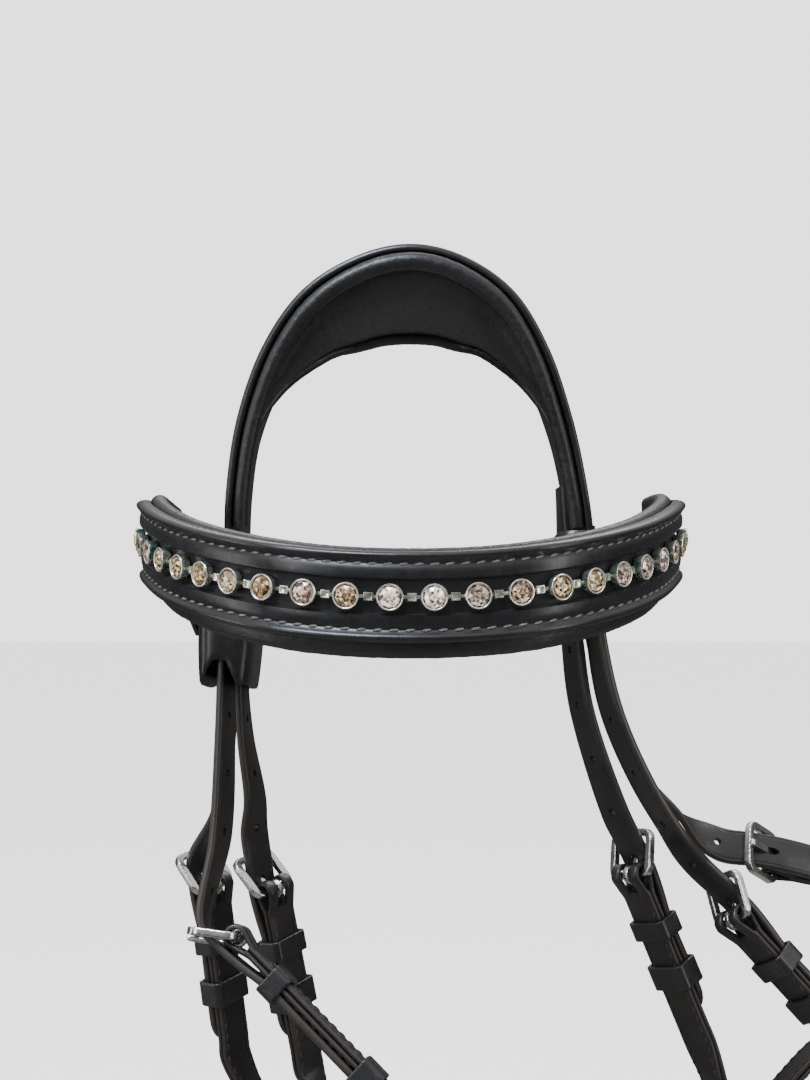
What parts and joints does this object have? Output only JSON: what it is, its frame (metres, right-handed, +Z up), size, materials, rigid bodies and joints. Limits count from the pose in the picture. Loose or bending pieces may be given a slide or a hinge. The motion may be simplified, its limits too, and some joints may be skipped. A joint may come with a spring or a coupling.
{
  "type": "snaffle bridle",
  "caption": "Black leather snaffle bridle with padded crown, stone-set browband, cavesson noseband, throatlash and loose-ring bit, hanging from its crown.",
  "frame": {"origin": "middle of the crown's padded underside, where the bridle hangs on its hook", "axes": "+Z up, +Y from the browband to the back of the head, +X to the viewer's right as the bridle is seen from the front"},
  "size_m": [0.2983, 0.21, 0.4985],
  "materials": {
    "bridle_leather": "satin",
    "lining_leather": "matt soft",
    "buckle_steel": "polished",
    "mouthpiece_steel": "polished",
    "stone_setting": "polished, tarnished at the rims"
  },
  "bodies": {
    "straps": {"headpiece": "bridle_leather", "crown_padding": "lining_leather", "noseband_billet_left": "bridle_leather", "noseband_billet_right": "bridle_leather", "cheekpiece_left": "bridle_leather", "cheekpiece_right": "bridle_leather", "hook_stud_left": "buckle_steel", "hook_stud_right": "buckle_steel", "noseband_leather": "bridle_leather", "noseband_padding": "lining_leather", "noseband_hanger_left": "bridle_leather", "noseband_hanger_right": "bridle_leather", "throatlash_strap": "bridle_leather", "cheek_left_fixed_keeper": "bridle_leather", "noseband_left_fixed_keeper": "bridle_leather", "throatlash_left_fixed_keeper": "bridle_leather", "noseband_right_fixed_keeper": "bridle_leather", "cheek_right_fixed_keeper": "bridle_leather", "throatlash_right_fixed_keeper": "bridle_leather", "chin_fixed_keeper": "bridle_leather"},
    "browband": {"browband_leather": "bridle_leather", "browband_lining": "lining_leather", "browband_stone_chain": "stone_setting"},
    "cheek_left_buckle": {"cheek_left_buckle_frame": "buckle_steel"},
    "cheek_left_tongue": {"cheek_left_buckle_tongue": "buckle_steel"},
    "cheek_left_runner": {"cheek_left_runner": "bridle_leather"},
    "noseband_left_buckle": {"noseband_left_buckle_frame": "buckle_steel"},
    "noseband_left_tongue": {"noseband_left_buckle_tongue": "buckle_steel"},
    "noseband_left_runner": {"noseband_left_runner": "bridle_leather"},
    "throatlash_left_buckle": {"throatlash_left_buckle_frame": "buckle_steel"},
    "throatlash_left_tongue": {"throatlash_left_buckle_tongue": "buckle_steel"},
    "throatlash_left_runner": {"throatlash_left_runner": "bridle_leather"},
    "noseband_right_buckle": {"noseband_right_buckle_frame": "buckle_steel"},
    "noseband_right_tongue": {"noseband_right_buckle_tongue": "buckle_steel"},
    "noseband_right_runner": {"noseband_right_runner": "bridle_leather"},
    "cheek_right_buckle": {"cheek_right_buckle_frame": "buckle_steel"},
    "cheek_right_tongue": {"cheek_right_buckle_tongue": "buckle_steel"},
    "cheek_right_runner": {"cheek_right_runner": "bridle_leather"},
    "throatlash_right_buckle": {"throatlash_right_buckle_frame": "buckle_steel"},
    "throatlash_right_tongue": {"throatlash_right_buckle_tongue": "buckle_steel"},
    "throatlash_right_runner": {"throatlash_right_runner": "bridle_leather"},
    "chin_buckle": {"chin_buckle_frame": "buckle_steel"},
    "chin_tongue": {"chin_buckle_tongue": "buckle_steel"},
    "chin_runner": {"chin_runner": "bridle_leather"},
    "ring_left": {"bit_ring_left": "buckle_steel"},
    "ring_right": {"bit_ring_right": "buckle_steel"},
    "mouth_left": {"mouthpiece_left": "mouthpiece_steel"},
    "mouth_right": {"mouthpiece_right": "mouthpiece_steel"},
    "mouth_link": {"mouthpiece_link": "mouthpiece_steel"}
  },
  "joints": [
    {"name": "browband_slide", "type": "slide", "parent": "straps", "child": "browband", "axis": [0, 0, 1], "range_m": [-0.004, 0.002]},
    {"name": "cheek_left_buckle_pivot", "type": "hinge", "parent": "straps", "child": "cheek_left_buckle", "pos_m": [-0.0583, -0.03, -0.216], "axis": [-0.0647, -0.9478, 0.3123], "range_deg": [0, 8]},
    {"name": "cheek_left_tongue_lift", "type": "hinge", "parent": "cheek_left_buckle", "child": "cheek_left_tongue", "pos_m": [-0.0583, -0.03, -0.216], "axis": [-0.0647, -0.9478, 0.3123], "range_deg": [0, 8]},
    {"name": "cheek_left_runner_slide", "type": "slide", "parent": "straps", "child": "cheek_left_runner", "axis": [0.7216, -0.2606, -0.6414], "range_m": [-0.03, 0.007]},
    {"name": "noseband_left_buckle_pivot", "type": "hinge", "parent": "straps", "child": "noseband_left_buckle", "pos_m": [-0.049, 0.004, -0.208], "axis": [-0.577, -0.809, -0.1119], "range_deg": [0, 8]},
    {"name": "noseband_left_tongue_lift", "type": "hinge", "parent": "noseband_left_buckle", "child": "noseband_left_tongue", "pos_m": [-0.049, 0.004, -0.208], "axis": [-0.577, -0.809, -0.1119], "range_deg": [0, 8]},
    {"name": "noseband_left_runner_slide", "type": "slide", "parent": "straps", "child": "noseband_left_runner", "axis": [0.1903, 0, -0.9817], "range_m": [-0.007, 0.006]},
    {"name": "throatlash_left_buckle_pivot", "type": "hinge", "parent": "straps", "child": "throatlash_left_buckle", "pos_m": [-0.0725, 0.017, -0.21], "axis": [-0.5835, -0.8055, -0.1033], "range_deg": [0, 8]},
    {"name": "throatlash_left_tongue_lift", "type": "hinge", "parent": "throatlash_left_buckle", "child": "throatlash_left_tongue", "pos_m": [-0.0725, 0.017, -0.21], "axis": [-0.5835, -0.8055, -0.1033], "range_deg": [0, 8]},
    {"name": "throatlash_left_runner_slide", "type": "slide", "parent": "straps", "child": "throatlash_left_runner", "axis": [0.1202, 0.0401, -0.9919], "range_m": [-0.007, 0.006]},
    {"name": "noseband_right_buckle_pivot", "type": "hinge", "parent": "straps", "child": "noseband_right_buckle", "pos_m": [0.079, 0, -0.202], "axis": [-0.5941, 0.766, -0.2454], "range_deg": [0, 8]},
    {"name": "noseband_right_tongue_lift", "type": "hinge", "parent": "noseband_right_buckle", "child": "noseband_right_tongue", "pos_m": [0.079, 0, -0.202], "axis": [-0.5941, 0.766, -0.2454], "range_deg": [0, 8]},
    {"name": "noseband_right_runner_slide", "type": "slide", "parent": "straps", "child": "noseband_right_runner", "axis": [0.3818, 0, -0.9243], "range_m": [-0.007, 0.006]},
    {"name": "cheek_right_buckle_pivot", "type": "hinge", "parent": "straps", "child": "cheek_right_buckle", "pos_m": [0.113, -0.012, -0.215], "axis": [-0.3844, 0.7991, -0.4623], "range_deg": [0, 8]},
    {"name": "cheek_right_tongue_lift", "type": "hinge", "parent": "cheek_right_buckle", "child": "cheek_right_tongue", "pos_m": [0.113, -0.012, -0.215], "axis": [-0.3844, 0.7991, -0.4623], "range_deg": [0, 8]},
    {"name": "cheek_right_runner_slide", "type": "slide", "parent": "straps", "child": "cheek_right_runner", "axis": [0.6728, -0.1004, -0.733], "range_m": [-0.007, 0.006]},
    {"name": "throatlash_right_buckle_pivot", "type": "hinge", "parent": "straps", "child": "throatlash_right_buckle", "pos_m": [0.135, 0.02, -0.201], "axis": [0.1563, 0.5592, 0.8142], "range_deg": [0, 8]},
    {"name": "throatlash_right_tongue_lift", "type": "hinge", "parent": "throatlash_right_buckle", "child": "throatlash_right_tongue", "pos_m": [0.135, 0.02, -0.201], "axis": [0.1563, 0.5592, 0.8142], "range_deg": [0, 8]},
    {"name": "throatlash_right_runner_slide", "type": "slide", "parent": "straps", "child": "throatlash_right_runner", "axis": [0.9792, 0.0202, -0.2019], "range_m": [-0.007, 0.006]},
    {"name": "chin_buckle_pivot", "type": "hinge", "parent": "straps", "child": "chin_buckle", "pos_m": [0.006, 0.041, -0.354], "axis": [0, 0, 1], "range_deg": [0, 8]},
    {"name": "chin_tongue_lift", "type": "hinge", "parent": "chin_buckle", "child": "chin_tongue", "pos_m": [0.006, 0.041, -0.354], "axis": [0, 0, 1], "range_deg": [0, 8]},
    {"name": "chin_runner_slide", "type": "slide", "parent": "straps", "child": "chin_runner", "axis": [-0.6222, -0.7828, 0], "range_m": [-0.0025, 0.0025]},
    {"name": "ring_left_spin", "type": "hinge", "parent": "straps", "child": "ring_left", "pos_m": [0.05202, -0.10599, -0.4345], "axis": [0.9501, 0.312, 0], "continuous": true},
    {"name": "ring_right_spin", "type": "hinge", "parent": "straps", "child": "ring_right", "pos_m": [0.18598, -0.06201, -0.4345], "axis": [0.9501, 0.312, 0], "continuous": true},
    {"name": "mouth_left_swing", "type": "hinge", "parent": "straps", "child": "mouth_left", "pos_m": [0.05202, -0.10599, -0.4345], "axis": [0.9501, 0.312, 0], "range_deg": [-20, 20]},
    {"name": "mouth_right_swing", "type": "hinge", "parent": "straps", "child": "mouth_right", "pos_m": [0.18598, -0.06201, -0.4345], "axis": [0.9501, 0.312, 0], "range_deg": [-20, 20]},
    {"name": "mouth_link_tilt", "type": "hinge", "parent": "mouth_left", "child": "mouth_link", "pos_m": [0.11235, -0.08618, -0.4695], "axis": [-0.312, 0.9501, 0], "range_deg": [-2.5, 2.5]}
  ],
  "couplings": [
    {"joint": "mouth_right_swing", "follows": "mouth_left_swing", "ratio": 1}
  ]
}
